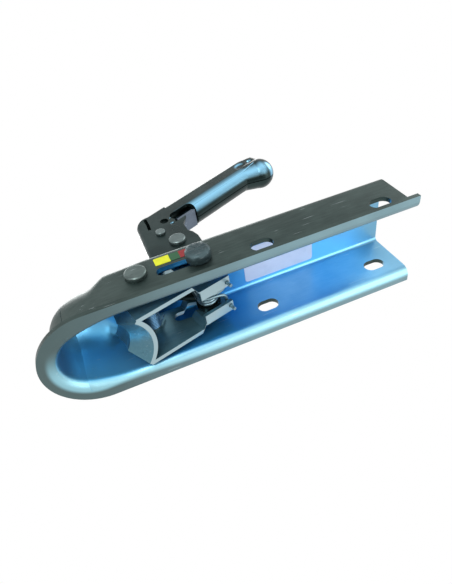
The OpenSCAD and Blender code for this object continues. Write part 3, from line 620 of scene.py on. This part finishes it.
class COUPLING_OT_axle(bpy.types.Operator):
    """Finish the axle and give the indicator head its rough skin"""

    bl_idname = "coupling.axle"
    bl_label = "Indicator axle"

    def execute(self, context):
        cast = plated_material("indicator_metal", srgb(84, 104, 108), srgb(34, 46, 50), roughness=0.5,
                               bump=0.5)
        dress_node("indicator_axle", "axle_rod", cast)
        self.add_head(cast)
        ring = plated_material("washer_plating", srgb(150, 164, 168), srgb(90, 104, 110), roughness=0.34)
        for node in ("axle_washer_left", "axle_washer_right", "axle_end_ring", "handle_washer_left",
                     "handle_washer_right", "axle_sleeve"):
            dress_node(node, node + "_finish", ring, bevel=0.15)
        return {"FINISHED"}

    def add_head(self, material):
        """A crowned head over the axle's own, with an uneven cast skin."""
        bm = bmesh.new()
        verts = [bm.verts.new((r * MM, 0, h * MM)) for r, h in HEAD_SECTION]
        edges = [bm.edges.new(pair) for pair in zip(verts, verts[1:])]
        bmesh.ops.spin(bm, geom=verts + edges, cent=(0, 0, 0), axis=(0, 0, 1), dvec=(0, 0, 0),
                       angle=math.tau, steps=48, use_merge=True)
        bmesh.ops.remove_doubles(bm, verts=bm.verts, dist=0.01 * MM)
        bmesh.ops.subdivide_edges(bm, edges=bm.edges, cuts=1, use_grid_fill=True)
        bmesh.ops.recalc_face_normals(bm, faces=bm.faces)
        rough = look().head_rough * MM
        for vert in bm.verts:
            a, h = math.atan2(vert.co.y, vert.co.x), vert.co.z / MM
            wave = math.sin(5 * a + h) + 0.6 * math.sin(9 * a - 2.3 * h) + 0.4 * math.sin(17 * a + 3.1 * h)
            reach = math.hypot(vert.co.x, vert.co.y)
            if reach > 0.002 and h > 0.3:
                vert.co += Vector((vert.co.x, vert.co.y, 0)).normalized() * rough * 0.5 * wave
                vert.co.z += rough * 0.35 * wave
        bmesh.ops.transform(bm, matrix=Matrix.Translation((AXLE[0] * MM, HEAD_FACE * MM, AXLE[1] * MM))
                            @ Matrix.Rotation(-math.pi / 2, 4, "X"), verts=bm.verts)
        sharp_by_angle(bm, 60)
        add_piece("indicator_head", bm, "axle", material)


class COUPLING_OT_handle(bpy.types.Operator):
    """Finish the handle, its rivets and its trigger"""

    bl_idname = "coupling.handle"
    bl_label = "Handle"

    def execute(self, context):
        dress_node("handle", "handle_shell", handle_material(look()), shape=press_grip)
        rivet = plated_material("handle_rivet", srgb(120, 134, 134), srgb(72, 86, 86), roughness=0.38,
                                wear=0.6, bump=0.15)
        for node in ("trigger_rivet", "stop_rivet"):
            dress_node(node, node + "_finish", rivet, bevel=0.4)
        plate = plated_material("trigger_plating", srgb(122, 134, 150), srgb(84, 96, 108), roughness=0.3,
                                wear=0.4)
        dress_node("safety_trigger", "trigger_lever", plate, bevel=0.4)
        for node in ("trigger_spacer_left", "trigger_spacer_right", "stop_sleeve"):
            dress_node(node, node + "_finish", plate)
        return {"FINISHED"}


class COUPLING_OT_labels(bpy.types.Operator):
    """Lay on the coloured strip and the bare white label"""

    bl_idname = "coupling.labels"
    bl_label = "Labels"

    def execute(self, context):
        self.add_film("strip_label", "indicator_label", film_material(), "strip", 0.8)
        self.add_film("plain_web_label", "web_label", paper_material(), "white_label", 2.5)
        return {"FINISHED"}

    def add_film(self, name, node, material, slot, corner):
        """A thin film in a CAD label's box, with rounded corners."""
        low, high = (Vector(v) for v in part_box(node))
        size, centre = high - low, (high + low) / 2
        thin = min(range(3), key=lambda i: size[i])
        bm = bmesh.new()
        bmesh.ops.create_cube(bm, size=1.0)
        bmesh.ops.scale(bm, vec=size, verts=bm.verts)
        upright = [e for e in bm.edges if abs((e.verts[0].co - e.verts[1].co)[thin]) > size[thin] / 2]
        bmesh.ops.bevel(bm, geom=upright, offset=corner * MM, segments=4, profile=0.5, affect="EDGES",
                        material=-1)
        bmesh.ops.translate(bm, vec=centre, verts=bm.verts)
        sharp_by_angle(bm, 40)
        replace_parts(add_piece(name, bm, BODY_OF[node], material), node)


class COUPLING_OT_stage(bpy.types.Operator):
    """Camera, lamps, white surroundings and the pale floor"""

    bl_idname = "coupling.stage"
    bl_label = "Stage"

    def execute(self, context):
        scene = context.scene
        camera = bpy.data.cameras.new("camera")
        camera.sensor_width = 36
        camera.lens = 28.90
        camera.clip_start = 0.01
        place = bpy.data.objects.new("camera", camera)
        right = Vector((-0.92270209, -0.1348594, -0.3611562))
        up = Vector((-0.33939797, 0.72847261, 0.59509384))
        back = Vector((0.1828384, 0.67167001, -0.7179342))
        place.matrix_world = Matrix.Translation((-0.04155, 0.25108, -0.24815)) @ Matrix(
            (right, up, back)).transposed().to_4x4()
        scene.collection.objects.link(place)
        scene.camera = place
        self.add_lamp("key", (0.25, 0.75, -0.35), 0.45, 5.0)
        self.add_lamp("fill", (-0.55, 0.15, -0.65), 0.7, 3.2)
        self.add_lamp("top", (-0.1, -0.25, 0.95), 0.8, 7.0)
        self.add_lamp("front", (0.85, -0.4, 0.25), 0.6, 3.0)
        self.add_lamp("rear", (-1.0, 0.35, 0.35), 0.6, 3.0)
        self.set_world(scene)
        self.add_floor()
        scene.view_settings.view_transform = "Standard"
        return {"FINISHED"}

    def add_lamp(self, name, place, size, power):
        lamp = bpy.data.lights.new(name, "AREA")
        lamp.size = size
        lamp.energy = power
        holder = bpy.data.objects.new(name, lamp)
        holder.location = place
        aim = Vector((-0.1, 0, 0.05)) - Vector(place)
        holder.rotation_euler = aim.to_track_quat("-Z", "Y").to_euler()
        bpy.context.scene.collection.objects.link(holder)

    def set_world(self, scene):
        world = bpy.data.worlds.new("white_surroundings")
        scene.world = world
        world.use_nodes = True
        world.node_tree.nodes.clear()
        g = Graph(world.node_tree)
        path = g.add("ShaderNodeLightPath").outputs
        seen = g.math("MAXIMUM", g.math("MAXIMUM", path["Is Camera Ray"], path["Is Glossy Ray"]),
                      path["Is Transmission Ray"])
        white = g.add("ShaderNodeBackground", {"Color": (1.0, 1.0, 1.0), "Strength": 1.0}).outputs[0]
        soft = g.add("ShaderNodeBackground", {"Color": (0.9, 0.94, 1.0), "Strength": 0.62}).outputs[0]
        both = g.add("ShaderNodeMixShader", {0: seen, 1: soft, 2: white}).outputs[0]
        g.add("ShaderNodeOutputWorld", {"Surface": both})

    def add_floor(self):
        bm = bmesh.new()
        bmesh.ops.create_circle(bm, cap_ends=True, radius=3.0, segments=64)
        bmesh.ops.translate(bm, vec=(0, 0, -0.0008), verts=bm.verts)
        mesh = bpy.data.meshes.new("floor")
        bm.to_mesh(mesh)
        bm.free()
        floor = bpy.data.objects.new("floor", mesh)
        bpy.context.scene.collection.objects.link(floor)
        material = bpy.data.materials.new("pale_floor")
        material.use_nodes = True
        material.node_tree.nodes.clear()
        g = Graph(material.node_tree)
        path = g.add("ShaderNodeLightPath").outputs
        above = g.math("SUBTRACT", 1.0, g.add("ShaderNodeNewGeometry").outputs["Backfacing"])
        shown = g.math("MULTIPLY", above, path["Is Camera Ray"])
        clear = g.add("ShaderNodeBsdfTransparent").outputs[0]
        pale = g.add("ShaderNodeBsdfDiffuse", {"Color": (0.94, 0.94, 0.94)}).outputs[0]
        g.add("ShaderNodeOutputMaterial", {"Surface": g.add("ShaderNodeMixShader",
                                                            {0: shown, 1: clear, 2: pale}).outputs[0]})
        mesh.materials.append(material)


class COUPLING_PT_panel(bpy.types.Panel):
    """Buttons for the coupling's pieces"""

    bl_idname = "COUPLING_PT_panel"
    bl_label = "Coupling head"
    bl_space_type = "VIEW_3D"
    bl_region_type = "UI"
    bl_category = "Coupling"

    def draw(self, context):
        for name in CouplingLook.__annotations__:
            self.layout.prop(context.scene.coupling_look, name)
        for step in STEPS:
            self.layout.operator(step.bl_idname)


STEPS = (COUPLING_OT_housing, COUPLING_OT_clamp, COUPLING_OT_springs, COUPLING_OT_axle, COUPLING_OT_handle,
         COUPLING_OT_labels, COUPLING_OT_stage)
CLASSES = (CouplingLook, *STEPS, COUPLING_PT_panel)


def register():
    for cls in CLASSES:
        bpy.utils.register_class(cls)
    bpy.types.Scene.coupling_look = PointerProperty(type=CouplingLook)


def unregister():
    del bpy.types.Scene.coupling_look
    for cls in reversed(CLASSES):
        bpy.utils.unregister_class(cls)


def main():
    register()
    for step in STEPS:
        group, name = step.bl_idname.split(".")
        getattr(getattr(bpy.ops, group), name)()


if __name__ == "__main__":
    main()
